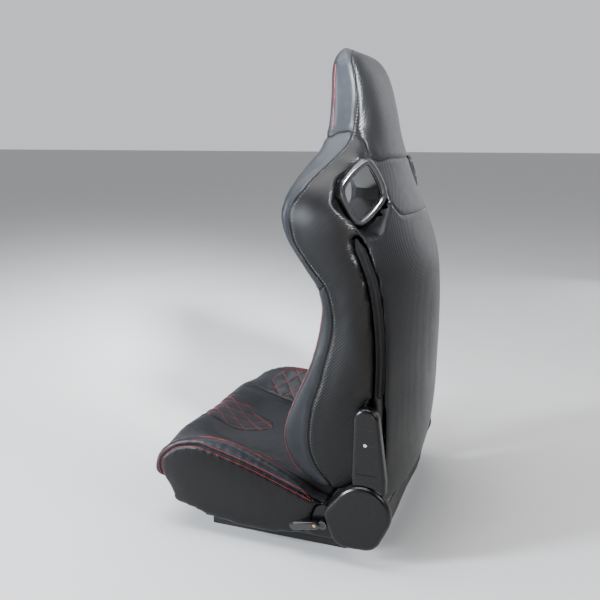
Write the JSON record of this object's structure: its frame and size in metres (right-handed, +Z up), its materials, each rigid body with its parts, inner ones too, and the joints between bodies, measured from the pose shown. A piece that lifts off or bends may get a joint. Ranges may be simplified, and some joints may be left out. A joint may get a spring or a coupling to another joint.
{
  "type": "racing seat",
  "caption": "Reclining sport bucket seat with moulded-in headrest, harness openings, quilted cushion, recline lever and floor sliders.",
  "frame": {"origin": "centre of the four floor bolts, on the underside of the lower rails", "axes": "+X to the sitter's left, -Y forwards (the way the sitter faces), +Z up"},
  "size_m": [0.5397, 0.5181, 0.936],
  "materials": {
    "frame_steel": "satin black powder coat",
    "zinc_steel": "zinc plated, lightly scratched",
    "spring_wire": "drawn wire, oiled",
    "glide_plastic": "natural nylon",
    "smooth_leather": "smooth black leatherette, fine grain, soft sheen",
    "carbon_vinyl": "black carbon-weave vinyl, satin",
    "soft_flap": "black coated cloth, matt",
    "zip_dark": "black zip tape, matt",
    "cover_plastic": "black fine-textured ABS",
    "bezel_plastic": "black satin ABS",
    "brass_screw": "yellow passivated"
  },
  "bodies": {
    "floor_rails": {"lower_rail_left": "frame_steel", "lower_rail_right": "frame_steel"},
    "seat_base": {"upper_rail_left": "frame_steel", "upper_rail_right": "frame_steel", "glide_shoes": "glide_plastic", "rail_bolts": "zinc_steel", "side_frame_left": "frame_steel", "side_frame_right": "frame_steel", "front_cross_tube": "frame_steel", "rear_cross_tube": "frame_steel", "seat_springs": "spring_wire", "seat_centre_pad": "smooth_leather", "seat_bolster_left": "smooth_leather", "seat_bolster_right": "smooth_leather", "side_skirt_left": "carbon_vinyl", "side_skirt_right": "carbon_vinyl", "rear_flap": "soft_flap", "pivot_bolts": "zinc_steel", "pivot_spacers": "zinc_steel", "recliner_cover_left": "cover_plastic", "hinge_cover_right": "cover_plastic", "inner_cover": "cover_plastic", "return_springs": "spring_wire", "release_bar_springs": "spring_wire"},
    "slider_release": {"release_bar": "frame_steel"},
    "recline_release": {"release_shaft": "zinc_steel", "pawl": "zinc_steel", "recline_lever": "bezel_plastic", "lever_screw": "brass_screw"},
    "backrest": {"arm_plate_left": "frame_steel", "arm_plate_right": "frame_steel", "arm_bolts": "zinc_steel", "arm_cover_left": "cover_plastic", "arm_cover_right": "cover_plastic", "arm_cover_screws": "zinc_steel", "back_upright_left": "frame_steel", "back_upright_right": "frame_steel", "back_lower_tube": "frame_steel", "back_upper_tube": "frame_steel", "head_loop": "frame_steel", "back_springs": "spring_wire", "back_centre_pad": "smooth_leather", "back_wing_left": "carbon_vinyl", "back_wing_right": "carbon_vinyl", "headrest_pad": "carbon_vinyl", "rear_panel": "carbon_vinyl", "shoulder_panel": "carbon_vinyl", "zip_strip_left": "zip_dark", "zip_strip_right": "zip_dark", "harness_bezel_left": "bezel_plastic", "harness_bezel_right": "bezel_plastic", "harness_tube_left": "bezel_plastic", "harness_tube_right": "bezel_plastic"}
  },
  "joints": [
    {"name": "slider", "type": "slide", "parent": "floor_rails", "child": "seat_base", "axis": [0, -1, 0], "range_m": [-0.08, 0.08]},
    {"name": "recline", "type": "hinge", "parent": "seat_base", "child": "backrest", "pos_m": [0, 0.185, 0.098], "axis": [-1, 0, 0], "range_deg": [-4, 60], "deforming": ["return_springs", "rear_flap"]},
    {"name": "recline_lever_lift", "type": "hinge", "parent": "seat_base", "child": "recline_release", "pos_m": [0.26, 0.11, 0.069], "axis": [-1, 0, 0], "range_deg": [0, 18], "stiffness_Nm_per_rad": 1.5, "springref_deg": -17.19},
    {"name": "release_bar_lift", "type": "hinge", "parent": "seat_base", "child": "slider_release", "pos_m": [0, -0.055, 0.04], "axis": [-1, 0, 0], "range_deg": [0, 12], "stiffness_Nm_per_rad": 3, "springref_deg": -28.65, "deforming": ["release_bar_springs"]}
  ]
}
